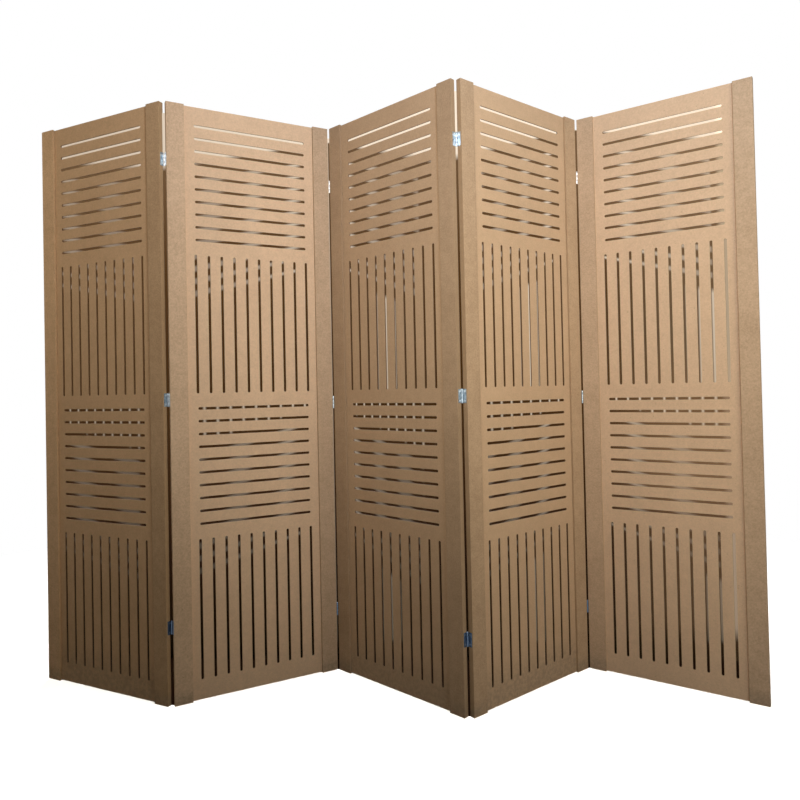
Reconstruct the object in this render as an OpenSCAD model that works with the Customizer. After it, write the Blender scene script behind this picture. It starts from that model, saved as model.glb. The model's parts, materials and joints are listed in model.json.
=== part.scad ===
// Five-panel folding screen in raw fibreboard.
// Each panel is two square stiles with a slotted sheet let into a groove between them.
// Three steel butt hinges join each pair of panels, with the pins on alternate faces,
// so that the row of panels stands in a zigzag and folds up like a concertina.

/* [Panel] */
// Height of the stiles
panel_h = 1700; // [1200:10:2200]
// Width of one panel over its stiles
panel_w = 490; // [360:5:700]
// Width of a stile's face
stile_w = 50; // [36:1:90]
// Thickness of a stile
stile_t = 16; // [12:1:30]
// Bevel that takes the sharpness off a stile's long edges
stile_ease = 0.6; // [0.2:0.1:2]

/* [Slotted sheet] */
// Thickness of the sheet
sheet_t = 3; // [2:0.5:6]
// Depth of the groove in a stile
groove_d = 8; // [4:0.5:14]
// Play of the sheet in its groove, on each side
groove_play = 0.1; // [0.05:0.05:0.5]
// How far the sheet stops short of the stiles' ends
sheet_short = 1.5; // [0:0.5:10]

/* [Slots] */
// Width of every slot
slot_w = 7.5; // [4:0.5:12]
// Number of cross slots in one block
cross_n = 10; // [4:1:16]
// Spacing of the cross slots
cross_pitch = 36.65; // [20:0.5:50]
// Number of upright slots in one block
upright_n = 10; // [4:1:16]
// Blank sheet between a stile and the slots
side_blank = 28; // [15:1:60]
// From the panel's end to the first slot
end_blank = 56.5; // [30:0.5:120]
// From a cross slot's centre line to the end of the upright slots
block_gap = 43.2; // [20:0.1:80]

/* [Hinges] */
// Length of a hinge along its pin
hinge_h = 38; // [25:1:60]
// Width of a leaf, from the pin's centre line
leaf_w = 13.6; // [9:0.1:15]
// Thickness of a leaf
leaf_t = 1.2; // [0.8:0.1:2]
// Radius of a leaf's two outer corners
leaf_corner = 1.5; // [0.5:0.1:4]
// Outer radius of the rolled knuckle
knuckle_r = 2.6; // [2:0.1:5]
// Play between neighbouring knuckles along the pin
knuckle_play = 0.3; // [0.1:0.05:0.6]
// How far the pin's centre line stands off the panel's face
pin_out = 0.8; // [0.5:0.1:3]
// Radius of the pin
pin_r = 1.3; // [0.8:0.1:2.5]
// Running fit of the pin in its knuckles
pin_play = 0.05; // [0.02:0.01:0.1]
// Radius of the pin's peened ends
pin_head_r = 1.9; // [1.4:0.1:3]
// Height of the pin's peened ends
pin_head_h = 0.5; // [0.3:0.1:1.5]
// Bevel round the pin's peened ends
pin_head_ease = 0.3; // [0.1:0.05:0.5]
// Drop of each hinge's middle below the top, fold 1
drops_1 = [162, 845, 1484]; // [80:1:1600]
// Drop of each hinge's middle below the top, fold 2
drops_2 = [184, 864, 1511]; // [80:1:1600]
// Drop of each hinge's middle below the top, fold 3
drops_3 = [161, 850, 1496]; // [80:1:1600]
// Drop of each hinge's middle below the top, fold 4
drops_4 = [181, 864, 1510]; // [80:1:1600]

/* [Screws] */
// Distance between the two screws in a leaf
screw_pitch = 25; // [12:0.5:40]
// Radius of a screw's shank
screw_r = 1.4; // [1:0.1:2]
// Radius of a screw's countersunk head
screw_head_r = 2.8; // [2:0.1:4]
// Length of a screw from its head's face
screw_len = 16; // [8:0.5:25]
// Length of a screw's point
screw_point = 3; // [1:0.5:6]
// Clearance round a screw
screw_play = 0.05; // [0.02:0.01:0.2]
// How far a pilot hole goes on past a screw's point
pilot_spare = 1; // [0:0.5:4]

/* [Stance] */
// Direction of the middle panel, from the left-right line
middle_turn = -41.5; // [-80:0.1:0]
// Inside angle of fold 1, between panels 1 and 2
fold_1 = 126.3; // [60:0.1:170]
// Inside angle of fold 2, between panels 2 and 3
fold_2 = 109.2; // [60:0.1:170]
// Inside angle of fold 3, between panels 3 and 4
fold_3 = 99.0; // [60:0.1:170]
// Inside angle of fold 4, between panels 4 and 5
fold_4 = 107.4; // [60:0.1:170]

/* [Hidden] */
$fn = 32;
eps = 0.01;

// A leaf's outer face lies on the stile's edge and is tangent to the knuckle,
// so the pin stands one knuckle radius clear of the edge.
edge_gap = knuckle_r;
pin_step = panel_w + edge_gap;
pin_deep = stile_t + pin_out;

// Directions of the panels, from the middle one outwards.
turn_3 = middle_turn;
turn_2 = turn_3 + 180 - fold_2;
turn_1 = turn_2 - 180 + fold_1;
turn_4 = turn_3 + 180 - fold_3;
turn_5 = turn_4 - 180 + fold_4;
function along(a) = [cos(a), sin(a)];
function front(a) = [sin(a), -cos(a)];

// Plan position of each panel's front left edge, chained from pin to pin.
spot_3 = [0, 0];
pin_2 = spot_3 - edge_gap * along(turn_3) + pin_out * front(turn_3);
spot_2 = pin_2 - pin_step * along(turn_2) - pin_out * front(turn_2);
pin_1 = spot_2 - edge_gap * along(turn_2) - pin_deep * front(turn_2);
spot_1 = pin_1 - pin_step * along(turn_1) + pin_deep * front(turn_1);
pin_3 = spot_3 + pin_step * along(turn_3) - pin_deep * front(turn_3);
spot_4 = pin_3 + edge_gap * along(turn_4) + pin_deep * front(turn_4);
pin_4 = spot_4 + pin_step * along(turn_4) + pin_out * front(turn_4);
spot_5 = pin_4 + edge_gap * along(turn_5) - pin_out * front(turn_5);
spots = [spot_1, spot_2, spot_3, spot_4, spot_5];
turns = [turn_1, turn_2, turn_3, turn_4, turn_5];
drops = [drops_1, drops_2, drops_3, drops_4];

// The screen stands with the middle of its outline over the origin.
rim = [
  for (i = [0:4], x = [0, stile_ease, panel_w - stile_ease, panel_w], y = [0, stile_ease, stile_t - stile_ease, stile_t])
    if ((x == 0 || x == panel_w) != (y == 0 || y == stile_t))
      spots[i] + x * along(turns[i]) - y * front(turns[i])
];
rim_x = [for (p = rim) p[0]];
rim_y = [for (p = rim) p[1]];
centre = [(min(rim_x) + max(rim_x)) / 2, (min(rim_y) + max(rim_y)) / 2];

// Sizes of the sheet and its slots.
tongue = groove_d - groove_play;
sheet_w = panel_w - 2 * stile_w + 2 * tongue;
sheet_h = panel_h - 2 * sheet_short;
slots_w = panel_w - 2 * stile_w - 2 * side_blank;
cross_h = (cross_n - 1) * cross_pitch;
upright_h = (panel_h - 2 * end_blank - 2 * cross_h - 3 * block_gap) / 2;
upright_pitch = slots_w / (upright_n - 1);

// Heights of the hinge's three knuckles, and of the screws in a leaf.
knuckle_h = (hinge_h - 2 * knuckle_play) / 3;
leaf_flat = leaf_w - knuckle_r;
screw_in = knuckle_r + leaf_flat / 2;
head_h = leaf_t;
hole_r = screw_r + screw_play;

// Places a panel's own parts: x runs along it from the left, y from its front face back.
module on_panel(n) {
  at = spots[n - 1] - centre;
  translate([at[0], at[1], 0])
    rotate([0, 0, turns[n - 1]])
      children();
}

// Places hinge parts on a panel's edge. Their x runs from the pin towards the edge,
// and their y from the pin across the edge, away from the face that the pin stands on.
module on_edge(right, back) {
  x = right == 1 ? panel_w + edge_gap : -edge_gap;
  y = back == 1 ? pin_deep : -pin_out;
  translate([x, y, 0])
    mirror([right, 0, 0])
      mirror([0, back, 0])
        children();
}

// Outline of one corner-eased stile, with its groove on the side x = stile_w.
module stile_outline() {
  e = stile_ease;
  difference() {
    polygon([
      [e, 0], [stile_w - e, 0], [stile_w, e], [stile_w, stile_t - e],
      [stile_w - e, stile_t], [e, stile_t], [0, stile_t - e], [0, e]
    ]);
    translate([stile_w - groove_d, (stile_t - sheet_t) / 2 - groove_play])
      square([groove_d + eps, sheet_t + 2 * groove_play]);
  }
}

// Pilot holes for one edge's hinge screws, through the edge and into the stile.
module pilot_holes(fold) {
  depth = screw_len - leaf_t + pilot_spare;
  for (drop = drops[fold - 1], side = [-1, 1])
    translate([edge_gap - eps, screw_in, panel_h - drop + side * screw_pitch / 2])
      rotate([0, 90, 0])
        cylinder(r = hole_r, h = depth);
}

// One stile of panel n: right is 0 for the left stile and 1 for the right one.
// fold is the fold that it is hinged at, or 0 at the screen's two outer edges.
module stile(n, right, fold) {
  color([0.74, 0.6, 0.45])
    on_panel(n)
      difference() {
        translate([right * panel_w, 0, 0])
          mirror([right, 0, 0])
            linear_extrude(panel_h)
              stile_outline();
        if (fold > 0)
          on_edge(right, fold % 2)
            pilot_holes(fold);
      }
}

// A round-ended slot lying along x, centred on the origin.
module slot(len) {
  straight = len - slot_w;
  square([straight, slot_w], center = true);
  for (side = [-1, 1])
    translate([side * straight / 2, 0])
      circle(d = slot_w);
}

// A block of cross slots, from its first centre line upwards.
module cross_block() {
  for (i = [0:cross_n - 1])
    translate([0, i * cross_pitch])
      slot(slots_w);
}

// A block of upright slots, from its lower end upwards.
module upright_block() {
  for (i = [0:upright_n - 1])
    translate([-slots_w / 2 + i * upright_pitch, upright_h / 2])
      rotate(90)
        slot(upright_h);
}

// All slots of one sheet, measured from the floor and about the panel's middle.
module slots() {
  low = end_blank;
  translate([0, low]) upright_block();
  translate([0, low + upright_h + block_gap]) cross_block();
  translate([0, low + upright_h + 2 * block_gap + cross_h]) upright_block();
  translate([0, low + 2 * upright_h + 3 * block_gap + cross_h]) cross_block();
}

// The slotted sheet of panel n.
module sheet(n) {
  color([0.8, 0.66, 0.5])
    on_panel(n)
      translate([panel_w / 2, (stile_t + sheet_t) / 2, 0])
        rotate([90, 0, 0])
          linear_extrude(sheet_t)
            difference() {
              translate([-sheet_w / 2, sheet_short])
                square([sheet_w, sheet_h]);
              slots();
            }
}

// The flat plate of a leaf, with its two outer corners rounded.
module leaf_plate() {
  straight = leaf_flat - leaf_corner;
  translate([knuckle_r - leaf_t, knuckle_r, 0])
    rotate([90, 0, 90])
      linear_extrude(leaf_t) {
        square([straight, hinge_h]);
        translate([0, leaf_corner])
          square([leaf_flat, hinge_h - 2 * leaf_corner]);
        for (z = [leaf_corner, hinge_h - leaf_corner])
          translate([straight, z])
            circle(r = leaf_corner);
      }
}

// Section of one knuckle, where the plate is rolled round the pin.
module knuckle_ring() {
  difference() {
    union() {
      circle(r = knuckle_r);
      translate([knuckle_r - leaf_t, 0])
        square([leaf_t, knuckle_r]);
    }
    circle(r = pin_r + pin_play);
  }
}

// Leaf with its hinge's bottom end at z = 0. ends is 1 for the leaf with the two
// outer knuckles and 0 for the one with the middle knuckle.
module leaf(ends) {
  step = knuckle_h + knuckle_play;
  difference() {
    union() {
      leaf_plate();
      if (ends == 1)
        for (k = [0, 2])
          translate([0, 0, k * step])
            linear_extrude(knuckle_h)
              knuckle_ring();
      if (ends == 0)
        translate([0, 0, step])
          linear_extrude(knuckle_h)
            knuckle_ring();
    }
    for (side = [-1, 1])
      translate([knuckle_r - leaf_t, screw_in, hinge_h / 2 + side * screw_pitch / 2])
        rotate([0, 90, 0])
          countersink();
  }
}

// Countersunk hole through a leaf, with the same play all round the screw.
module countersink() {
  slope = (screw_head_r - screw_r) / head_h;
  wide = screw_head_r + screw_play;
  translate([0, 0, -eps])
    cylinder(r1 = wide + eps * slope, r2 = hole_r - eps * slope, h = head_h + 2 * eps);
}

// One leaf of a hinge: fold and drop say which hinge, n which panel carries it.
module hinge_leaf(fold, level, n, right, ends) {
  color([0.78, 0.8, 0.84])
    on_panel(n)
      on_edge(right, fold % 2)
        translate([0, 0, panel_h - drops[fold - 1][level] - hinge_h / 2])
          leaf(ends);
}

// The pin, peened over at both ends. It turns with the leaf that has two knuckles.
module hinge_pin(fold, level, n, right) {
  e_r = pin_head_r - pin_head_ease;
  e_h = pin_head_h - pin_head_ease;
  color([0.6, 0.62, 0.66])
    on_panel(n)
      on_edge(right, fold % 2)
        translate([0, 0, panel_h - drops[fold - 1][level] - hinge_h / 2])
          rotate_extrude()
            polygon([
              [0, -pin_head_h], [e_r, -pin_head_h], [pin_head_r, -e_h], [pin_head_r, 0],
              [pin_r, 0], [pin_r, hinge_h],
              [pin_head_r, hinge_h], [pin_head_r, hinge_h + e_h], [e_r, hinge_h + pin_head_h],
              [0, hinge_h + pin_head_h]
            ]);
}

// A countersunk wood screw pointing along x, with its head's face at x = 0.
module screw() {
  rotate([0, 90, 0])
    rotate_extrude()
      polygon([
        [0, 0], [screw_head_r, 0], [screw_r, head_h],
        [screw_r, screw_len - screw_point], [0, screw_len]
      ]);
}

// The screws that hold one edge's leaves.
module edge_screws(n, right, fold) {
  on_panel(n)
    on_edge(right, fold % 2)
      for (drop = drops[fold - 1], side = [-1, 1])
        translate([knuckle_r - leaf_t, screw_in, panel_h - drop + side * screw_pitch / 2])
          screw();
}

module screws(n, left_fold, right_fold) {
  color([0.66, 0.68, 0.72]) {
    if (left_fold > 0) edge_screws(n, 0, left_fold);
    if (right_fold > 0) edge_screws(n, 1, right_fold);
  }
}

stile(1, 0, 0);  // panel_1_stile_left
stile(1, 1, 1);  // panel_1_stile_right
sheet(1);  // panel_1_sheet
screws(1, 0, 1);  // panel_1_screws
stile(2, 0, 1);  // panel_2_stile_left
stile(2, 1, 2);  // panel_2_stile_right
sheet(2);  // panel_2_sheet
screws(2, 1, 2);  // panel_2_screws
stile(3, 0, 2);  // panel_3_stile_left
stile(3, 1, 3);  // panel_3_stile_right
sheet(3);  // panel_3_sheet
screws(3, 2, 3);  // panel_3_screws
stile(4, 0, 3);  // panel_4_stile_left
stile(4, 1, 4);  // panel_4_stile_right
sheet(4);  // panel_4_sheet
screws(4, 3, 4);  // panel_4_screws
stile(5, 0, 4);  // panel_5_stile_left
stile(5, 1, 0);  // panel_5_stile_right
sheet(5);  // panel_5_sheet
screws(5, 4, 0);  // panel_5_screws

hinge_leaf(1, 0, 1, 1, 1);  // fold_1_top_leaf_a
hinge_leaf(1, 0, 2, 0, 0);  // fold_1_top_leaf_b
hinge_pin(1, 0, 1, 1);  // fold_1_top_pin
hinge_leaf(1, 1, 1, 1, 1);  // fold_1_mid_leaf_a
hinge_leaf(1, 1, 2, 0, 0);  // fold_1_mid_leaf_b
hinge_pin(1, 1, 1, 1);  // fold_1_mid_pin
hinge_leaf(1, 2, 1, 1, 1);  // fold_1_low_leaf_a
hinge_leaf(1, 2, 2, 0, 0);  // fold_1_low_leaf_b
hinge_pin(1, 2, 1, 1);  // fold_1_low_pin

hinge_leaf(2, 0, 2, 1, 1);  // fold_2_top_leaf_a
hinge_leaf(2, 0, 3, 0, 0);  // fold_2_top_leaf_b
hinge_pin(2, 0, 2, 1);  // fold_2_top_pin
hinge_leaf(2, 1, 2, 1, 1);  // fold_2_mid_leaf_a
hinge_leaf(2, 1, 3, 0, 0);  // fold_2_mid_leaf_b
hinge_pin(2, 1, 2, 1);  // fold_2_mid_pin
hinge_leaf(2, 2, 2, 1, 1);  // fold_2_low_leaf_a
hinge_leaf(2, 2, 3, 0, 0);  // fold_2_low_leaf_b
hinge_pin(2, 2, 2, 1);  // fold_2_low_pin

hinge_leaf(3, 0, 3, 1, 1);  // fold_3_top_leaf_a
hinge_leaf(3, 0, 4, 0, 0);  // fold_3_top_leaf_b
hinge_pin(3, 0, 3, 1);  // fold_3_top_pin
hinge_leaf(3, 1, 3, 1, 1);  // fold_3_mid_leaf_a
hinge_leaf(3, 1, 4, 0, 0);  // fold_3_mid_leaf_b
hinge_pin(3, 1, 3, 1);  // fold_3_mid_pin
hinge_leaf(3, 2, 3, 1, 1);  // fold_3_low_leaf_a
hinge_leaf(3, 2, 4, 0, 0);  // fold_3_low_leaf_b
hinge_pin(3, 2, 3, 1);  // fold_3_low_pin

hinge_leaf(4, 0, 4, 1, 1);  // fold_4_top_leaf_a
hinge_leaf(4, 0, 5, 0, 0);  // fold_4_top_leaf_b
hinge_pin(4, 0, 4, 1);  // fold_4_top_pin
hinge_leaf(4, 1, 4, 1, 1);  // fold_4_mid_leaf_a
hinge_leaf(4, 1, 5, 0, 0);  // fold_4_mid_leaf_b
hinge_pin(4, 1, 4, 1);  // fold_4_mid_pin
hinge_leaf(4, 2, 4, 1, 1);  // fold_4_low_leaf_a
hinge_leaf(4, 2, 5, 0, 0);  // fold_4_low_leaf_b
hinge_pin(4, 2, 4, 1);  // fold_4_low_pin
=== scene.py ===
import json
import math
import random

import bmesh
import bpy
from mathutils import Matrix, Vector

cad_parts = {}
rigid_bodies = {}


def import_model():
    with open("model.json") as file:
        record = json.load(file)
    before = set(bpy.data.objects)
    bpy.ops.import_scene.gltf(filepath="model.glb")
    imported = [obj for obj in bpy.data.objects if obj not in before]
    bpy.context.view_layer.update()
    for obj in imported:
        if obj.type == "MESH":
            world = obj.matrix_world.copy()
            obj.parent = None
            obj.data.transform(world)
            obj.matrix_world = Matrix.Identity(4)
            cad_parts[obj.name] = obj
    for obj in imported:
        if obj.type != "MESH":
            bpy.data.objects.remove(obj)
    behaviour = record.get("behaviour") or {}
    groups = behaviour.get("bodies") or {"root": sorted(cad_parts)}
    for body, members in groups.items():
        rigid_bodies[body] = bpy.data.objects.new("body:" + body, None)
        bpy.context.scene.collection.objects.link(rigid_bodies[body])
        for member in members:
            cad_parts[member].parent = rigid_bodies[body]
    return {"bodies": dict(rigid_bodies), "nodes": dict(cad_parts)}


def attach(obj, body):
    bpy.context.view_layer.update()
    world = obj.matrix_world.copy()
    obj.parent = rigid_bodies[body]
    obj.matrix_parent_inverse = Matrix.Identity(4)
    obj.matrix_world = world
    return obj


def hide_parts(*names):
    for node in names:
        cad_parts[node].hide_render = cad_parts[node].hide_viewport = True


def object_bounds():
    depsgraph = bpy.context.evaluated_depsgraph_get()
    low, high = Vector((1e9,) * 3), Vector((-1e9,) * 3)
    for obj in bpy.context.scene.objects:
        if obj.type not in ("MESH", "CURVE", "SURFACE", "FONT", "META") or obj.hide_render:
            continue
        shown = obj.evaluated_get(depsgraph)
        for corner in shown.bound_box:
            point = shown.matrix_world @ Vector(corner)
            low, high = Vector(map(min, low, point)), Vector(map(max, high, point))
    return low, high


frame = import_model()
cad_low, cad_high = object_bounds()

# Ten stiles, two to a panel. Each is a straight strip sawn from 16 mm raw
# fibreboard, with its long edges eased by hand and a groove in its inner edge
# for the sheet. They are left bare, so the pressed fibre shows.
panel_turns = {1: -24.4, 2: 29.3, 3: -41.5, 4: 39.5, 5: -33.1}
board_pale = (0.640, 0.445, 0.287, 1.0)
board_deep = (0.475, 0.322, 0.200, 1.0)
board_cut = (0.430, 0.294, 0.175, 1.0)
bark_fleck = (0.250, 0.150, 0.080, 1.0)
# the colour that the feet darken to: dirt, and painted shade near the floor
foot_grime_and_shade = (0.240, 0.185, 0.130, 1.0)
panel_warmth = {1: 0.045, 2: -0.025, 3: 0.005, 4: 0.010, 5: -0.015}
blue_per_red = 2.2
# each stile's lightness: partly the board's own tone, partly painted light and shade for how it was lit
stile_tones_and_shading = {
    "left": {1: 1.25, 2: 1.24, 3: 0.84, 4: 0.88, 5: 1.07},
    "right": {1: 0.90, 2: 1.08, 3: 0.80, 4: 0.94, 5: 1.05},
}
board_gloss = 0.22
rough_deep = 0.88
rough_pale = 0.70
nap_high = 0.0004
eased_share = 0.35
fleck_share = 0.40
sharp_from = 35
touching = 0.00001


def wire(tree, out_node, out_name, in_node, in_name):
    tree.links.new(out_node.outputs[out_name], in_node.inputs[in_name])


def reckon(tree, kind, a, b, a_name="Value", b_name="Value"):
    # a and b are numbers, or nodes whose named output is used
    step = tree.nodes.new("ShaderNodeMath")
    step.operation = kind
    for slot_no, value, name in ((0, a, a_name), (1, b, b_name)):
        if isinstance(value, (int, float)):
            step.inputs[slot_no].default_value = value
        else:
            wire(tree, value, name, step, slot_no)
    return step


def range_of(tree, source, name, low, high, to_low=0.0, to_high=1.0):
    step = tree.nodes.new("ShaderNodeMapRange")
    step.inputs["From Min"].default_value = low
    step.inputs["From Max"].default_value = high
    step.inputs["To Min"].default_value = to_low
    step.inputs["To Max"].default_value = to_high
    wire(tree, source, name, step, "Value")
    return step


def noise_at(tree, place, name, scale, detail, rough):
    step = tree.nodes.new("ShaderNodeTexNoise")
    step.inputs["Scale"].default_value = scale
    step.inputs["Detail"].default_value = detail
    step.inputs["Roughness"].default_value = rough
    wire(tree, place, name, step, "Vector")
    return step


def layered(tree, *layers):
    # noises added up, each with its own share
    total = 0.0
    for noise, share in layers:
        total = reckon(tree, "ADD", reckon(tree, "MULTIPLY", noise, share, "Fac"), total)
    return total


def xyz_of(tree, source, name):
    parts = tree.nodes.new("ShaderNodeSeparateXYZ")
    wire(tree, source, name, parts, "Vector")
    return parts


def empty_group(name, kind, takes, gives):
    """A node group with its input and output nodes, and a named socket for all that it takes and gives."""
    group = bpy.data.node_groups.new(name, kind)
    for way, sockets in (("INPUT", takes), ("OUTPUT", gives)):
        for socket, socket_kind in sockets.items():
            group.interface.new_socket(socket, in_out=way, socket_type=f"NodeSocket{socket_kind}")
    return group, group.nodes.new("NodeGroupInput"), group.nodes.new("NodeGroupOutput")


def pressed_fibre_group():
    """Colour masks and height of pressed wood fibre, with x along the board, y through it and z up."""
    group, start, end = empty_group(
        "pressed fibre", "ShaderNodeTree",
        takes={"Place": "Vector", "Direction": "Vector"},
        gives={"Shade": "Float", "Fleck": "Float", "Cut": "Float", "Eased": "Float", "Height": "Float"})

    # cloudy density of the felt, from hand-sized clouds down to small clots
    cloud = noise_at(group, start, "Place", scale=7.0, detail=3.0, rough=0.55)
    patch = noise_at(group, start, "Place", scale=48.0, detail=4.0, rough=0.62)
    clot = noise_at(group, start, "Place", scale=240.0, detail=3.0, rough=0.62)
    # single fibres, a millimetre or two long, felted at random
    fibre = noise_at(group, start, "Place", scale=700.0, detail=4.0, rough=0.7)
    grit = noise_at(group, start, "Place", scale=1800.0, detail=2.0, rough=0.6)
    shade = layered(group, (cloud, 0.17), (patch, 0.20), (clot, 0.40), (fibre, 0.23))
    spread = range_of(group, shade, "Value", 0.40, 0.60)

    # darker bark flecks of odd shapes and sizes: one cell in five holds one
    pull = group.nodes.new("ShaderNodeTexNoise")
    pull.inputs["Scale"].default_value = 520.0
    pull.inputs["Detail"].default_value = 2.0
    wire(group, start, "Place", pull, "Vector")
    bend = group.nodes.new("ShaderNodeVectorMath")
    bend.operation = "MULTIPLY_ADD"
    bend.inputs[1].default_value = (0.005, 0.005, 0.005)
    wire(group, pull, "Color", bend, 0)
    wire(group, start, "Place", bend, 2)
    cells = group.nodes.new("ShaderNodeTexVoronoi")
    cells.inputs["Scale"].default_value = 150.0
    wire(group, bend, "Vector", cells, "Vector")
    chosen = group.nodes.new("ShaderNodeSeparateColor")
    wire(group, cells, "Color", chosen, "Color")
    few = reckon(group, "GREATER_THAN", chosen, 0.80, "Red")
    size = range_of(group, chosen, "Green", 0.0, 1.0, 0.05, 0.20)
    nearer = reckon(group, "SUBTRACT", size, cells, "Result", "Distance")
    soft = range_of(group, nearer, "Value", -0.03, 0.05)
    fleck = reckon(group, "MULTIPLY", few, soft, "Value", "Result")

    # sawn edges are the surfaces that don't face through the board, and an
    # eased edge is where the two meet
    through = reckon(group, "ABSOLUTE", xyz_of(group, start, "Direction"), 0.0, "Y")
    cut = range_of(group, through, "Value", 0.55, 0.8, 1.0, 0.0)
    rise = range_of(group, through, "Value", 0.15, 0.5)
    fall = range_of(group, through, "Value", 0.85, 0.99, 1.0, 0.0)
    eased = reckon(group, "MULTIPLY", rise, fall, "Result", "Result")

    # the cutter leaves fine marks across a sawn edge
    marks = group.nodes.new("ShaderNodeMapping")
    marks.inputs["Scale"].default_value = (260.0, 900.0, 260.0)
    wire(group, start, "Place", marks, "Vector")
    torn = noise_at(group, marks, "Vector", scale=1.0, detail=3.0, rough=0.65)
    rough_cut = reckon(group, "MULTIPLY", torn, cut, "Fac", "Result")
    fine = layered(group, (fibre, 0.5), (grit, 0.3), (clot, 0.6))
    height = reckon(group, "ADD", fine, reckon(group, "MULTIPLY", rough_cut, 1.6))

    wire(group, spread, "Result", end, "Shade")
    wire(group, fleck, "Value", end, "Fleck")
    wire(group, cut, "Result", end, "Cut")
    wire(group, eased, "Value", end, "Eased")
    wire(group, height, "Value", end, "Height")
    return group


fibre_group = pressed_fibre_group()


def between(tree, share, share_name, low, high):
    # a colour from low to high by a mask
    step = tree.nodes.new("ShaderNodeMix")
    step.data_type = "RGBA"
    step.inputs["A"].default_value = low
    step.inputs["B"].default_value = high
    wire(tree, share, share_name, step, "Factor")
    return step


def mixed(tree, share, share_name, first, first_name, second):
    # a colour node's output goes over to a plain colour by a mask
    step = between(tree, share, share_name, second, second)
    wire(tree, first, first_name, step, "A")
    return step


def raised(tree, skin, marks, strength, high):
    # the height that a group of marks gives out becomes the skin's relief
    bump = tree.nodes.new("ShaderNodeBump")
    bump.inputs["Strength"].default_value = strength
    bump.inputs["Distance"].default_value = high
    wire(tree, marks, "Height", bump, "Height")
    wire(tree, bump, "Normal", skin, "Normal")


def along_panel(tree, spot, name, turn, origin=(0.0, 0.0, 0.0)):
    # a place or direction in a panel's own directions
    turned = tree.nodes.new("ShaderNodeMapping")
    turned.vector_type = "TEXTURE"
    turned.inputs["Rotation"].default_value = (0.0, 0.0, math.radians(turn))
    turned.inputs["Location"].default_value = origin
    wire(tree, spot, name, turned, "Vector")
    return turned


def toned(colour, shade, warmth=0.0):
    # a warm board has more red and less blue
    red, green, blue = (channel * shade for channel in colour[:3])
    return (red * (1.0 + warmth), green, blue * (1.0 - blue_per_red * warmth), 1.0)


def bare_board(name, number, origin, shade, colours, cut_share, relief, dirt_and_shade, dirt_and_shade_high):
    """Raw fibreboard that lies along a panel. No two boards have the same origin, so none are alike."""
    # shade makes the whole board lighter or darker: partly its own tone, partly painted light and shade
    pale, deep, cut = (toned(colour, shade, panel_warmth[number]) for colour in colours)
    board = bpy.data.materials.new(name)
    board.use_nodes = True
    tree = board.node_tree
    skin = tree.nodes["Principled BSDF"]
    skin.inputs["Specular IOR Level"].default_value = board_gloss
    spot = tree.nodes.new("ShaderNodeTexCoord")
    place = along_panel(tree, spot, "Object", panel_turns[number], origin)
    fibre = tree.nodes.new("ShaderNodeGroup")
    fibre.node_tree = fibre_group
    wire(tree, place, "Vector", fibre, "Place")
    wire(tree, along_panel(tree, spot, "Normal", panel_turns[number]), "Vector", fibre, "Direction")

    face = between(tree, fibre, "Shade", deep, pale)
    sawn = mixed(tree, reckon(tree, "MULTIPLY", fibre, cut_share, "Cut"), "Value", face, "Result", cut)
    rubbed = mixed(tree, reckon(tree, "MULTIPLY", fibre, eased_share, "Eased"), "Value", sawn, "Result", cut)
    flecks = reckon(tree, "MULTIPLY", fibre, fleck_share, "Fleck")
    bark = mixed(tree, flecks, "Value", rubbed, "Result", bark_fleck)
    # the ends near the floor are darker: some dirt, and painted shade where the light falls off towards the
    # floor
    low = range_of(tree, xyz_of(tree, spot, "Object"), "Z", dirt_and_shade_high * 0.4, dirt_and_shade_high, dirt_and_shade, 0.0)
    blot = noise_at(tree, place, "Vector", scale=90.0, detail=3.0, rough=0.6)
    uneven = range_of(tree, blot, "Fac", 0.4, 0.6, 0.4, 1.0)
    grime_and_shade = reckon(tree, "MULTIPLY", low, uneven, "Result", "Result")
    grimed_and_shaded = mixed(tree, grime_and_shade, "Value", bark, "Result", foot_grime_and_shade)
    wire(tree, grimed_and_shaded, "Result", skin, "Base Color")

    dull = range_of(tree, fibre, "Shade", 0.0, 1.0, rough_deep, rough_pale)
    wire(tree, dull, "Result", skin, "Roughness")
    raised(tree, skin, fibre, relief, nap_high)
    return board


def smooth_sides_group():
    """Shades a piece's curved sides smooth and keeps its sharp edges."""
    group, start, end = empty_group(
        "smooth sides", "GeometryNodeTree", takes={"Geometry": "Geometry"}, gives={"Geometry": "Geometry"})
    faces = group.nodes.new("GeometryNodeSetShadeSmooth")
    faces.domain = "FACE"
    angle = group.nodes.new("GeometryNodeInputMeshEdgeAngle")
    blunt = reckon(group, "LESS_THAN", angle, math.radians(sharp_from), "Unsigned Angle")
    edges = group.nodes.new("GeometryNodeSetShadeSmooth")
    edges.domain = "EDGE"
    wire(group, start, "Geometry", faces, "Geometry")
    wire(group, faces, "Geometry", edges, "Geometry")
    wire(group, blunt, "Value", edges, "Shade Smooth")
    wire(group, edges, "Geometry", end, "Geometry")
    return group


smooth_sides = smooth_sides_group()


def dress(piece, finish):
    """Gives a CAD piece its finish, joins its loose faces and smooths its curves. Its mesh is left alone."""
    piece.data.materials.clear()
    piece.data.materials.append(finish)
    weld = piece.modifiers.new("weld", "WELD")
    weld.merge_threshold = touching
    smooth = piece.modifiers.new("smooth sides", "NODES")
    smooth.node_group = smooth_sides


for number in panel_turns:
    origins = {"left": (0.37 * number, 0.11, 0.5), "right": (0.83, 0.29 * number, 1.9)}
    for side, origin in origins.items():
        stile_board = bare_board(
            f"stile board {number} {side}", number, origin, stile_tones_and_shading[side][number],
            (board_pale, board_deep, board_cut), cut_share=0.55, relief=0.55, dirt_and_shade=0.50, dirt_and_shade_high=0.045)
        dress(frame["nodes"][f"panel_{number}_stile_{side}"], stile_board)
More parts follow.
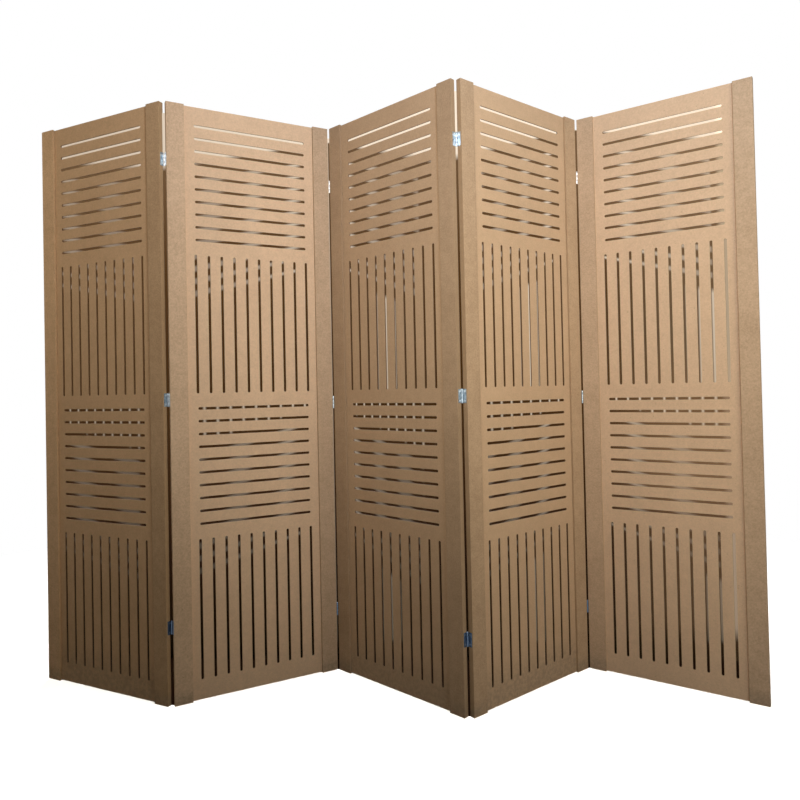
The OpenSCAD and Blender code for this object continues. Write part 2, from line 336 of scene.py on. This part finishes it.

# Five slotted sheets. Each is 3 mm fibreboard with forty round-ended slots
# routed through it, slid into the grooves of its two stiles. Its faces are a
# little paler than the stiles'. The routed slot walls are browner, and darker
# still with painted shade for the shade inside the slots.
sheet_pale = (0.708, 0.487, 0.311, 1.0)
sheet_deep = (0.597, 0.408, 0.259, 1.0)
slot_wall_and_shade = (0.170, 0.088, 0.036, 1.0)
# each sheet's lightness: partly the board's own tone, partly painted light and shade for how it was lit
sheet_tones_and_shading = {1: 0.96, 2: 1.23, 3: 0.83, 4: 0.94, 5: 1.15}
# how much darker each sheet's foot is: dirt, and painted shade near the floor
sheet_dirt_and_shade = {1: 0.45, 2: 0.10, 3: 0.45, 4: 0.50, 5: 0.05}
for number in panel_turns:
    sheet_board = bare_board(
        f"sheet board {number}", number, (1.7, 0.4 * number, 0.2), sheet_tones_and_shading[number],
        (sheet_pale, sheet_deep, slot_wall_and_shade),
        cut_share=0.90, relief=0.35, dirt_and_shade=sheet_dirt_and_shade[number], dirt_and_shade_high=0.120)
    dress(frame["nodes"][f"panel_{number}_sheet"], sheet_board)

# Twenty-four hinge leaves, stamped from 1.2 mm steel strip, rolled round the pin
# and plated with zinc. Each is screwed flat on a stile's edge. The plating's colour
# by height is a painted reflection: blue-white at the top, dark near the floor.
folds = (1, 2, 3, 4)
zinc_bright_by_reflection = {
    "top": (0.600, 0.680, 0.740, 1.0),
    "mid": (0.440, 0.510, 0.560, 1.0),
    "low": (0.100, 0.145, 0.215, 1.0),
}
zinc_grey_by_reflection = {
    "top": (0.420, 0.480, 0.530, 1.0),
    "mid": (0.250, 0.300, 0.345, 1.0),
    "low": (0.058, 0.088, 0.135, 1.0),
}
# on the two folds that point to the back, the top hinges face the light: a painted glint makes them nearly
# white
glint_white_bright = (0.860, 0.850, 0.830, 1.0)
glint_white_grey = (0.700, 0.690, 0.670, 1.0)
glint_folds = (2, 4)
edge_round = 0.00018
rounded_from = 40


def zinc_group():
    """Tone, gloss and relief of rolled and plated steel strip."""
    group, start, end = empty_group(
        "zinc plate", "ShaderNodeTree", takes={"Place": "Vector"},
        gives={"Tone": "Float", "Gloss": "Float", "Height": "Float"})
    # the plate's cloudy passivation, and rolling lines that run along the strip
    cloud = noise_at(group, start, "Place", scale=140.0, detail=3.0, rough=0.6)
    drawn = group.nodes.new("ShaderNodeMapping")
    drawn.inputs["Scale"].default_value = (2600.0, 2600.0, 60.0)
    wire(group, start, "Place", drawn, "Vector")
    lines = noise_at(group, drawn, "Vector", scale=1.0, detail=2.0, rough=0.5)
    pits = noise_at(group, start, "Place", scale=2200.0, detail=2.0, rough=0.5)
    tone = layered(group, (cloud, 0.7), (lines, 0.3))
    relief = layered(group, (lines, 0.7), (pits, 0.3))
    wire(group, range_of(group, tone, "Value", 0.35, 0.65), "Result", end, "Tone")
    wire(group, range_of(group, cloud, "Fac", 0.3, 0.7, 0.24, 0.42), "Result", end, "Gloss")
    wire(group, relief, "Value", end, "Height")
    return group


zinc_marks = zinc_group()


def plated_steel(name, bright, grey):
    plate = bpy.data.materials.new(name)
    plate.use_nodes = True
    tree = plate.node_tree
    skin = tree.nodes["Principled BSDF"]
    skin.inputs["Metallic"].default_value = 1.0
    spot = tree.nodes.new("ShaderNodeTexCoord")
    marks = tree.nodes.new("ShaderNodeGroup")
    marks.node_tree = zinc_marks
    wire(tree, spot, "Object", marks, "Place")
    wire(tree, between(tree, marks, "Tone", grey, bright), "Result", skin, "Base Color")
    wire(tree, marks, "Gloss", skin, "Roughness")
    raised(tree, skin, marks, strength=0.25, high=0.00005)
    return plate


def round_edges(piece):
    """Rounds a stamped piece's sharp edges; the rounding comes before the smooth shading."""
    bevel = piece.modifiers.new("rounded edges", "BEVEL")
    bevel.width = edge_round
    bevel.segments = 2
    bevel.limit_method = "ANGLE"
    bevel.angle_limit = math.radians(rounded_from)
    piece.modifiers.move(len(piece.modifiers) - 1, 1)


glint_plate = plated_steel("painted glint leaf zinc", glint_white_bright, glint_white_grey)
for level in zinc_bright_by_reflection:
    level_plate = plated_steel(f"{level} leaf zinc", zinc_bright_by_reflection[level], zinc_grey_by_reflection[level])
    for fold in folds:
        leaf_plate = glint_plate if level == "top" and fold in glint_folds else level_plate
        for letter in ("a", "b"):
            leaf = frame["nodes"][f"fold_{fold}_{level}_leaf_{letter}"]
            dress(leaf, leaf_plate)
            round_edges(leaf)

# Twelve hinge pins of drawn steel wire, pushed through the knuckles and peened
# over at both ends, so that they can't drop out.
pin_bright = (0.350, 0.385, 0.425)
pin_grey = (0.235, 0.265, 0.300)
# the pins are lighter at the top and darker near the floor: painted reflection
pin_shades_by_reflection = {"top": 1.5, "mid": 1.0, "low": 0.35}
for level, shade in pin_shades_by_reflection.items():
    pin_plate = plated_steel(f"{level} pin zinc", toned(pin_bright, shade), toned(pin_grey, shade))
    for fold in folds:
        dress(frame["nodes"][f"fold_{fold}_{level}_pin"], pin_plate)

# Forty-eight countersunk wood screws, two to a leaf, turned from steel wire and
# plated brighter than the leaves. Each has a cross recess pressed into its head,
# left at its own angle by the driver.
screw_bright = (0.680, 0.715, 0.750, 1.0)
screw_grey = (0.500, 0.535, 0.575, 1.0)
# screws near the floor get a darker copy of the plating: a painted dark reflection, as on the low hinges
dark_reflection_bright = (0.190, 0.225, 0.280, 1.0)
dark_reflection_grey = (0.120, 0.150, 0.195, 1.0)
dark_reflection_below = 0.5
screw_long = 0.016
shank_r = 0.0014
head_r = 0.0028
head_tall = 0.00120
taper_long = 0.0030
flat_r = 0.00240
rim_r = 0.00268
rim_drop = 0.00003
edge_drop = 0.00015
arm_long = 0.00170
arm_half = 0.00036
recess_deep = 0.00105
pit_deep = 0.00125
screw_sharp_from = 32


def cross_outline(arm, half):
    # four arms, eight points to each quarter turn, in order round the middle
    wide = arm - half
    quarter = [(arm, 0.0), (arm, half), (half + 0.55 * wide, half), (half + 0.22 * wide, half), (half, half),
               (half, half + 0.22 * wide), (half, half + 0.55 * wide), (half, arm)]
    points = []
    for step in range(4):
        for x, y in quarter:
            for _ in range(step):
                x, y = -y, x
            points.append((x, y))
    return points


def ring_outline(radius):
    # a circle with its points at the same angles as the cross
    points = []
    for x, y in cross_outline(arm_long, arm_half):
        turn = math.atan2(y, x)
        points.append((radius * math.cos(turn), radius * math.sin(turn)))
    return points


def drive_screw(mesh, head, inward, spin):
    """Adds one screw to a mesh, with its head's face centred on head and its point inward."""
    up = Vector((0, 0, 1))
    side = inward.cross(up).normalized()
    # outlines and depths, from the floor of the recess over the rim to the screw's point
    rows = [
        (cross_outline(arm_long * 0.52, arm_half * 0.75), recess_deep),
        (cross_outline(arm_long * 0.93, arm_half * 0.92), 0.00016),
        (cross_outline(arm_long, arm_half * 1.12), 0.00003),
        (ring_outline(flat_r), 0.0),
        (ring_outline(rim_r), rim_drop),
        (ring_outline(head_r), edge_drop),
        (ring_outline(shank_r), head_tall),
        (ring_outline(shank_r), screw_long - taper_long),
        (ring_outline(shank_r * 0.45), screw_long - 0.0008),
    ]

    def put(x, y, depth):
        turned_x = x * math.cos(spin) - y * math.sin(spin)
        turned_y = x * math.sin(spin) + y * math.cos(spin)
        return mesh.verts.new(head + side * turned_x + up * turned_y + inward * depth)

    loops = [[put(x, y, depth) for x, y in outline] for outline, depth in rows]
    pit = put(0, 0, pit_deep)
    point = put(0, 0, screw_long)
    count = len(loops[0])
    faces = []
    for k in range(count):
        n = (k + 1) % count
        faces.append(mesh.faces.new((pit, loops[0][k], loops[0][n])))
        for inner, outer in zip(loops, loops[1:]):
            faces.append(mesh.faces.new((inner[k], outer[k], outer[n], inner[n])))
        faces.append(mesh.faces.new((point, loops[-1][n], loops[-1][k])))
    return faces


def direction_of(turn):
    return Vector((math.cos(math.radians(turn)), math.sin(math.radians(turn)), 0))


def screw_places(node, turn):
    """Head and direction of each screw of a CAD node, read from its separate solids."""
    along = direction_of(turn)
    mesh = bmesh.new()
    mesh.from_mesh(node.data)
    bmesh.ops.remove_doubles(mesh, verts=mesh.verts, dist=touching)
    left = set(mesh.verts)
    places = []
    while left:
        solid = {left.pop()}
        edge_on = list(solid)
        while edge_on:
            vert = edge_on.pop()
            for edge in vert.link_edges:
                other = edge.other_vert(vert)
                if other not in solid:
                    solid.add(other)
                    edge_on.append(other)
        left -= solid
        # the point is the narrower of the solid's two ends
        reach = [(vert.co.dot(along), vert.co.copy()) for vert in solid]
        ends = []
        for way, last in ((1, max(r[0] for r in reach)), (-1, min(r[0] for r in reach))):
            near = [co for r, co in reach if abs(r - last) < 10 * touching]
            middle = sum(near, Vector()) / len(near)
            spread = max((co - middle).length for co in near)
            ends.append((spread, way, middle))
        _, way, point = min(ends, key=lambda found: found[0])
        inward = along * way
        places.append((point - inward * screw_long, inward))
    mesh.free()
    return sorted(places, key=lambda place: (round(place[0].x, 3), round(place[0].z, 3)))


screw_plate = plated_steel("screw zinc", screw_bright, screw_grey)
dark_reflection_screw = plated_steel("dark reflection screw zinc", dark_reflection_bright, dark_reflection_grey)
hand = random.Random(5)
for number, turn in panel_turns.items():
    node = frame["nodes"][f"panel_{number}_screws"]
    build = bmesh.new()
    for head, inward in screw_places(node, turn):
        for face in drive_screw(build, head, inward, hand.uniform(0, math.pi / 2)):
            face.material_index = 1 if head.z < dark_reflection_below else 0
    bmesh.ops.recalc_face_normals(build, faces=build.faces)
    screw_mesh = bpy.data.meshes.new(f"panel_{number}_screw_set")
    build.to_mesh(screw_mesh)
    build.free()
    screw_mesh.polygons.foreach_set("use_smooth", [True] * len(screw_mesh.polygons))
    screw_mesh.set_sharp_from_angle(angle=math.radians(screw_sharp_from))
    screw_mesh.materials.append(screw_plate)
    screw_mesh.materials.append(dark_reflection_screw)
    screws = bpy.data.objects.new(f"panel_{number}_screw_set", screw_mesh)
    bpy.context.scene.collection.objects.link(screws)
    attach(screws, f"panel_{number}")
    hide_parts(f"panel_{number}_screws")

# The camera stands where the photograph was taken: 1.96 m in front of the middle
# and 0.87 m up, turned, tipped and rolled by about a degree.
camera_place = Vector((0.1037, -1.9635, 0.8691))
camera_turn = 1.2061
camera_tip = 0.8608
camera_roll = 1.2107
eye = bpy.data.cameras.new("camera")
eye.sensor_width = 36.0
eye.lens = 30.366
eye.shift_x = 0.0004
eye.shift_y = -0.02506
camera = bpy.data.objects.new("camera", eye)
aim = Matrix.Rotation(math.radians(camera_turn), 4, "Z")
for angle, axis in ((camera_tip, "X"), (camera_roll, "Y"), (90, "X")):
    aim = aim @ Matrix.Rotation(math.radians(angle), 4, axis)
camera.matrix_world = Matrix.Translation(camera_place) @ aim
bpy.context.scene.collection.objects.link(camera)
bpy.context.scene.camera = camera
bpy.context.scene.view_settings.view_transform = "Standard"

# The floor is flat and pale. Near the screen it is matt and keeps the screen's
# shadow, and further out it is plain white. It gives no light back to the boards.
floor_half = 14
matt_to = 1.5
white_from = 2.8
floor_mesh = bpy.data.meshes.new("floor")
floor_corners = [(x * floor_half, y * floor_half, 0) for x, y in ((-1, -1), (1, -1), (1, 1), (-1, 1))]
floor_mesh.from_pydata(floor_corners, [], [(0, 1, 2, 3)])
floor = bpy.data.objects.new("floor", floor_mesh)
bpy.context.scene.collection.objects.link(floor)
floor.visible_diffuse = False


def plain_shader(tree, kind, colour, strength=None):
    step = tree.nodes.new(kind)
    step.inputs["Color"].default_value = colour
    if strength is not None:
        step.inputs["Strength"].default_value = strength
    return step


def finish_with(tree, share, share_name, first, second, out_kind="ShaderNodeOutputMaterial"):
    # the first shader goes over to the second by a mask
    pick = tree.nodes.new("ShaderNodeMixShader")
    wire(tree, share, share_name, pick, "Fac")
    wire(tree, first, 0, pick, 1)
    wire(tree, second, 0, pick, 2)
    wire(tree, pick, "Shader", tree.nodes.new(out_kind), "Surface")


floor_paint = bpy.data.materials.new("floor paint")
floor_paint.use_nodes = True
tree = floor_paint.node_tree
tree.nodes.clear()
matt = plain_shader(tree, "ShaderNodeBsdfDiffuse", (0.82, 0.80, 0.77, 1.0))
white = plain_shader(tree, "ShaderNodeEmission", (1.0, 1.0, 1.0, 1.0), 1.0)
ground = tree.nodes.new("ShaderNodeTexCoord")
from_middle = tree.nodes.new("ShaderNodeVectorMath")
from_middle.operation = "LENGTH"
wire(tree, ground, "Object", from_middle, 0)
away = range_of(tree, from_middle, "Value", matt_to, white_from)
finish_with(tree, away, "Result", matt, white)
floor_mesh.materials.append(floor_paint)

# Through the slots a cream wall showed, with the slots' own shadow on it, and dark
# floor. Flat pieces close behind the panels and in the folds' gaps glow with a painted
# picture of it: painted light and shadow in place of the wall and its shade. They are
# clear from behind, and gone as soon as a panel is moved.
sheet_gap = 0.020
end_short = 0.030
top_short = 0.030
plug_in = 0.010
panel_high = cad_high[2]
board_middles = {}
for number, turn in panel_turns.items():
    along = direction_of(turn)
    back = Vector((-along.y, along.x, 0.0))
    # the corners of the two stiles' feet
    corners = []
    for side in ("left", "right"):
        stile = frame["nodes"][f"panel_{number}_stile_{side}"]
        corners += [vert.co for vert in stile.data.vertices if vert.co.z < 0.001]
    spans = [corner.dot(along) for corner in corners]
    depths = [corner.dot(back) for corner in corners]
    middle = along * (min(spans) + max(spans)) / 2 + back * (min(depths) + max(depths)) / 2
    board_middles[number] = (middle, along, back)
panel_half = (max(spans) - min(spans)) / 2

feet = []
for middle, along, back in board_middles.values():
    centre = middle + back * sheet_gap
    reach = along * (panel_half - end_short)
    feet.append((centre - reach, centre + reach))
# a narrow piece in each fold's gap reaches a little way into the boards on both sides
boards = list(board_middles.values())
for (middle_a, along_a, _), (middle_b, along_b, _) in zip(boards, boards[1:]):
    feet.append((middle_a + along_a * (panel_half - plug_in), middle_b - along_b * (panel_half - plug_in)))
points = []
quads = []
for left, right in feet:
    first = len(points)
    for spot in (left, right):
        points.extend([(spot.x, spot.y, 0.0), (spot.x, spot.y, panel_high - top_short)])
    quads.append((first, first + 2, first + 3, first + 1))
behind_mesh = bpy.data.meshes.new("behind_the_slots")
behind_mesh.from_pydata(points, [], quads)
behind = bpy.data.objects.new("behind_the_slots", behind_mesh)
bpy.context.scene.collection.objects.link(behind)
behind.visible_shadow = False
behind.visible_diffuse = False
behind.visible_glossy = False


def while_open_group(bodies):
    """Takes its geometry away as soon as one of the bodies has left its place."""
    group, start, end = empty_group(
        "while the screen stands open", "GeometryNodeTree",
        takes={"Geometry": "Geometry"}, gives={"Geometry": "Geometry"})
    total = 0.0
    for body in bodies:
        info = group.nodes.new("GeometryNodeObjectInfo")
        info.inputs["Object"].default_value = body
        gone = group.nodes.new("ShaderNodeVectorMath")
        gone.operation = "LENGTH"
        wire(group, info, "Location", gone, 0)
        total = reckon(group, "ADD", gone, total)
    moved = reckon(group, "GREATER_THAN", total, 0.001)
    keep = group.nodes.new("GeometryNodeSwitch")
    keep.input_type = "GEOMETRY"
    wire(group, moved, "Value", keep, "Switch")
    wire(group, start, "Geometry", keep, "False")
    wire(group, keep, "Output", end, "Geometry")
    return group


# panel 3 is the one that the others hang from, so it never moves
while_open = while_open_group([frame["bodies"][f"panel_{number}"] for number in (1, 2, 4, 5)])
behind.modifiers.new("while open", "NODES").node_group = while_open

# The wall stood about 0.23 m behind the middle of the screen, a little askew. The small
# lamp that threw the slots' shadow on it was high in front, right of the camera. Both are
# only numbers in the formulas that follow.
wall_near = 0.228
wall_lean = 0.045
lamp_spot = (0.399, -2.313, 2.195)
lamp_way = (0.0, 0.958, 0.287)
lamp_half_wide = 0.030
lamp_half_tall = 0.075
lamp_power = 84.0
slot_half = 0.0030
slots_half = 0.167
fold_lap = 0.005
slot_count = 10
upright_pitch = 2 * slots_half / (slot_count - 1)
cross_pitch = 0.03665
cross_tall = cross_pitch * (slot_count - 1)
end_blank = 0.0565
block_gap = 0.0432
upright_tall = (panel_high - 2 * end_blank - 2 * cross_tall - 3 * block_gap) / 2
low_cross = end_blank + upright_tall + block_gap
high_upright = low_cross + cross_tall + block_gap
high_cross = high_upright + upright_tall + block_gap


def vector_of(tree, kind, a, b, a_name="Vector", b_name="Vector"):
    # a and b are number triples, or nodes whose named output is used
    step = tree.nodes.new("ShaderNodeVectorMath")
    step.operation = kind
    for slot_no, value, name in ((0, a, a_name), (1, b, b_name)):
        if isinstance(value, tuple):
            step.inputs[slot_no].default_value = value
        else:
            wire(tree, value, name, step, slot_no)
    return step


def scaled(tree, source, name, share, share_name="Value"):
    step = tree.nodes.new("ShaderNodeVectorMath")
    step.operation = "SCALE"
    wire(tree, source, name, step, 0)
    wire(tree, share, share_name, step, "Scale")
    return step


def nearest_line(tree, source, name, first, pitch):
    # how far a place is from the nearest of a block's slots
    steps = reckon(tree, "DIVIDE", reckon(tree, "SUBTRACT", source, first, name), pitch)
    whole = reckon(tree, "ROUND", steps, 0.0)
    whole = reckon(tree, "MINIMUM", reckon(tree, "MAXIMUM", whole, 0.0), slot_count - 1.0)
    off = reckon(tree, "ABSOLUTE", reckon(tree, "SUBTRACT", steps, whole), 0.0)
    return reckon(tree, "MULTIPLY", off, pitch)


def past_edge(tree, beyond, blur):
    # share of the lamp that is past an edge, when its middle is this far beyond the edge
    share = reckon(tree, "ADD", reckon(tree, "DIVIDE", beyond, reckon(tree, "MULTIPLY", blur, 2.0)), 0.5)
    share.use_clamp = True
    return share


def in_slot(tree, off, blur):
    # share of the lamp seen through a slot whose middle line is this far off
    room = reckon(tree, "SUBTRACT", reckon(tree, "ADD", blur, slot_half), off)
    share = reckon(tree, "DIVIDE", room, reckon(tree, "MULTIPLY", blur, 2.0))
    share.use_clamp = True
    return reckon(tree, "MINIMUM", share, reckon(tree, "DIVIDE", slot_half, blur))


def past_panel_group():
    """Share of the small lamp that a place on the wall sees past and through one panel."""
    group, start, end = empty_group(
        "lamp past one panel", "ShaderNodeTree",
        takes={"Place": "Vector", "Middle": "Vector", "Along": "Vector", "Back": "Vector"},
        gives={"Share": "Float"})
    # where the line to the lamp crosses the panel, from the panel's middle
    ray = vector_of(group, "SUBTRACT", lamp_spot, start, b_name="Place")
    lag = vector_of(group, "SUBTRACT", start, start, "Middle", "Place")
    share = reckon(group, "DIVIDE",
                   vector_of(group, "DOT_PRODUCT", lag, start, b_name="Back"),
                   vector_of(group, "DOT_PRODUCT", ray, start, b_name="Back"))
    crossing = vector_of(group, "ADD", start, scaled(group, ray, "Vector", share), "Place")
    offset = vector_of(group, "SUBTRACT", crossing, start, b_name="Middle")
    across = vector_of(group, "DOT_PRODUCT", offset, start, b_name="Along")
    parts = xyz_of(group, crossing, "Vector")
    distance = reckon(group, "ABSOLUTE", share, 0.0)
    blur_wide = reckon(group, "MULTIPLY", distance, lamp_half_wide)
    blur_tall = reckon(group, "MULTIPLY", distance, lamp_half_tall)
    aside = reckon(group, "ABSOLUTE", across, 0.0)

    cross_off = reckon(group, "MINIMUM",
                       nearest_line(group, parts, "Z", low_cross, cross_pitch),
                       nearest_line(group, parts, "Z", high_cross, cross_pitch))
    cross_share = reckon(group, "MULTIPLY",
                         in_slot(group, cross_off, blur_tall),
                         past_edge(group, reckon(group, "SUBTRACT", slots_half, aside), blur_wide))
    upright_off = nearest_line(group, across, "Value", -slots_half, upright_pitch)
    inside = []
    for foot in (end_blank, high_upright):
        inside.append(reckon(group, "MINIMUM",
                             reckon(group, "SUBTRACT", parts, foot, "Z"),
                             reckon(group, "SUBTRACT", foot + upright_tall, parts, b_name="Z")))
    upright_share = reckon(group, "MULTIPLY",
                           in_slot(group, upright_off, blur_wide),
                           past_edge(group, reckon(group, "MAXIMUM", *inside), blur_tall))
    # the panels overlap a little, so that they shut the light out at the folds too
    beside = past_edge(group, reckon(group, "SUBTRACT", aside, panel_half + fold_lap), blur_wide)
    above = past_edge(group, reckon(group, "SUBTRACT", parts, panel_high, "Z"), blur_tall)
    total = reckon(group, "ADD", reckon(group, "ADD", cross_share, upright_share),
                   reckon(group, "ADD", beside, above))
    total.use_clamp = True
    wire(group, total, "Value", end, "Share")
    return group


def height_ramp(tree, source, stops):
    # colours by height, with the heights in metres
    ramp = tree.nodes.new("ShaderNodeValToRGB")
    wire(tree, range_of(tree, source, "Z", 0.0, panel_high), "Result", ramp, "Fac")
    marks = ramp.color_ramp.elements
    for mark, (height, colour) in ((marks[0], stops[0]), (marks[1], stops[-1])):
        mark.position = height / panel_high
        mark.color = (*colour, 1.0)
    for height, colour in stops[1:-1]:
        marks.new(height / panel_high).color = (*colour, 1.0)
    return ramp


painted_wall_picture = bpy.data.materials.new("painted wall light and shadow")
painted_wall_picture.use_nodes = True
tree = painted_wall_picture.node_tree
tree.nodes.clear()
ground = tree.nodes.new("ShaderNodeTexCoord")
# the place on the wall that this place stands for, in the photograph's own view
sight = vector_of(tree, "SUBTRACT", ground, tuple(camera_place), "Object")
depth = vector_of(tree, "DOT_PRODUCT", sight, (wall_lean, 1.0, 0.0))
times = reckon(tree, "DIVIDE", wall_near - wall_lean * camera_place.x - camera_place.y, depth)
wall_spot = vector_of(tree, "ADD", scaled(tree, sight, "Vector", times), tuple(camera_place))
parts = xyz_of(tree, wall_spot, "Vector")

# the lamp's painted light on it, past and through the five panels
ray = vector_of(tree, "SUBTRACT", lamp_spot, wall_spot)
meets = vector_of(tree, "DOT_PRODUCT", ray, (-wall_lean, -1.0, 0.0))
leaves = vector_of(tree, "DOT_PRODUCT", ray, tuple(-part for part in lamp_way))
far = vector_of(tree, "LENGTH", ray, (0.0, 0.0, 0.0))
light = reckon(tree, "DIVIDE", reckon(tree, "MULTIPLY", meets, leaves), reckon(tree, "POWER", far, 4.0))
light = reckon(tree, "MULTIPLY", light, lamp_power / math.pi ** 2)
past_panel = past_panel_group()
# the shadow of the last panel falls a little further right in the photograph
slips = {5: 0.0045}
stretches = {5: 1.02}
for number, (middle, along, back) in board_middles.items():
    shade = tree.nodes.new("ShaderNodeGroup")
    shade.node_tree = past_panel
    shade.inputs["Middle"].default_value = middle + along * slips.get(number, 0.0)
    shade.inputs["Along"].default_value = along / stretches.get(number, 1.0)
    shade.inputs["Back"].default_value = back
    wire(tree, wall_spot, "Vector", shade, "Place")
    light = reckon(tree, "MULTIPLY", light, shade, b_name="Share")

# cream paint that gets less light lower down, over a dark skirting board
cream = height_ramp(tree, parts, [
    (0.058, (0.010, 0.006, 0.004)), (0.062, (0.38, 0.33, 0.25)), (0.35, (0.44, 0.385, 0.30)),
    (0.85, (0.80, 0.70, 0.55)), (1.35, (0.78, 0.70, 0.58))])
# the brown half-light that the boards throw on it
dusk = height_ramp(tree, parts, [
    (0.00, (0.001, 0.0005, 0.0002)), (0.06, (0.006, 0.003, 0.001)), (0.35, (0.017, 0.007, 0.003)),
    (0.50, (0.030, 0.013, 0.005)), (0.80, (0.052, 0.024, 0.008)), (1.05, (0.063, 0.029, 0.010)),
    (1.30, (0.086, 0.041, 0.015)), (1.60, (0.150, 0.085, 0.040))])
open_side = range_of(tree, parts, "X", 0.30, 1.05, 1.0, 1.35)
# daylight that reaches it round the open right-hand end
day = height_ramp(tree, parts, [
    (0.06, (0.010, 0.005, 0.002)), (0.12, (0.056, 0.032, 0.016)), (0.45, (0.066, 0.039, 0.020)),
    (0.55, (0.130, 0.080, 0.043)), (0.85, (0.090, 0.056, 0.030)), (1.00, (0.054, 0.047, 0.032)),
    (1.60, (0.036, 0.030, 0.020))])
near = range_of(tree, parts, "X", 0.68, 0.92)
end_day = height_ramp(tree, parts, [
    (0.06, (0.020, 0.012, 0.006)), (0.10, (0.240, 0.190, 0.140)), (0.43, (0.260, 0.210, 0.155)),
    (0.47, (0.120, 0.090, 0.065)), (0.83, (0.120, 0.090, 0.065)), (0.87, (0.290, 0.240, 0.175)),
    (1.60, (0.300, 0.255, 0.185))])
end = range_of(tree, parts, "X", 1.068, 1.084)
shown = scaled(tree, cream, "Color", light)
for colour, share in ((dusk, open_side), (day, near), (end_day, end)):
    shown = vector_of(tree, "ADD", shown, scaled(tree, colour, "Color", share, "Result"))
# below the foot of the wall the floor is seen, painted dark as floor in shade
low = reckon(tree, "LESS_THAN", parts, 0.0, "Z")
picture = mixed(tree, low, "Value", shown, "Vector", (0.010, 0.004, 0.002, 1.0))
# the painted picture glows, though no lamp lights it
glow = tree.nodes.new("ShaderNodeEmission")
wire(tree, picture, "Result", glow, "Color")
clear = tree.nodes.new("ShaderNodeBsdfTransparent")
side = tree.nodes.new("ShaderNodeNewGeometry")
finish_with(tree, side, "Backfacing", glow, clear)
behind_mesh.materials.append(painted_wall_picture)

# One small lamp in front, high and to the right, with broad soft ones beside it
# and behind the screen. The floor has a lamp of its own, so that it is pale
# without more light on the screen.


def lamp(name, power, place, target, size, tint=(1.0, 1.0, 1.0)):
    light = bpy.data.lights.new(name, "AREA")
    light.energy = power
    light.color = tint
    light.shape = "ELLIPSE"
    light.size = size
    light.size_y = size
    holder = bpy.data.objects.new(name, light)
    holder.location = place
    holder.rotation_euler = (Vector(target) - Vector(place)).to_track_quat("-Z", "Y").to_euler()
    bpy.context.scene.collection.objects.link(holder)
    return holder


lamp("key lamp", power=25.0, size=0.12, tint=(0.70, 0.83, 1.0),
     place=(0.624, -1.687, 1.869), target=(0.624, -0.687, 2.869))
lamp("middle soft lamp", power=7.5, size=0.4, tint=(1.0, 0.87, 0.78),
     place=(0.0, -1.4, 1.7), target=(0.0, -0.4, 2.3))
lamp("right soft lamp", power=6.4, size=0.8, tint=(1.0, 0.91, 0.69),
     place=(1.4, -1.0, 1.2), target=(0.0, 0.0, 1.2))
lamp("left soft lamp", power=5.4, size=0.8, tint=(1.0, 0.83, 0.58),
     place=(-2.0, -0.9, 1.6), target=(0.0, 0.0, 1.2))
lamp("level soft lamp", power=3.3, size=0.5, tint=(1.0, 0.95, 0.79),
     place=(0.1, -1.0, 1.1), target=(0.1, 0.0, 1.2))
lamp("foot soft lamp", power=2.8, size=0.4, place=(0.85, -1.3, 0.45), target=(1.05, 0.0, 0.3))
rear_soft = lamp("rear soft lamp", power=150.0, size=2.4, place=(-0.5, 3.4, 2.8), target=(0.0, 0.0, 0.8))
# its light isn't passed on from board to board
rear_soft.data.cycles.max_bounces = 0
floor_lamp = lamp("floor lamp", power=480.0, size=2.0, place=(0.1, -1.6, 6.0), target=(0.0, 0.0, 0.0))
floor_alone = bpy.data.collections.new("floor alone")
floor_alone.objects.link(floor)
floor_lamp.light_linking.receiver_collection = floor_alone

# The room gives a dim warm light from all sides. The camera and every reflection
# see it as plain white.
room = bpy.data.worlds.new("room")
room.use_nodes = True
bpy.context.scene.world = room
tree = room.node_tree
tree.nodes.clear()
dim = plain_shader(tree, "ShaderNodeBackground", (1.0, 0.95, 0.88, 1.0), 0.012)
white = plain_shader(tree, "ShaderNodeBackground", (1.0, 1.0, 1.0, 1.0), 1.0)
rays = tree.nodes.new("ShaderNodeLightPath")
seen = reckon(tree, "MAXIMUM", rays, rays, "Is Camera Ray", "Is Glossy Ray")
finish_with(tree, seen, "Value", dim, white, "ShaderNodeOutputWorld")
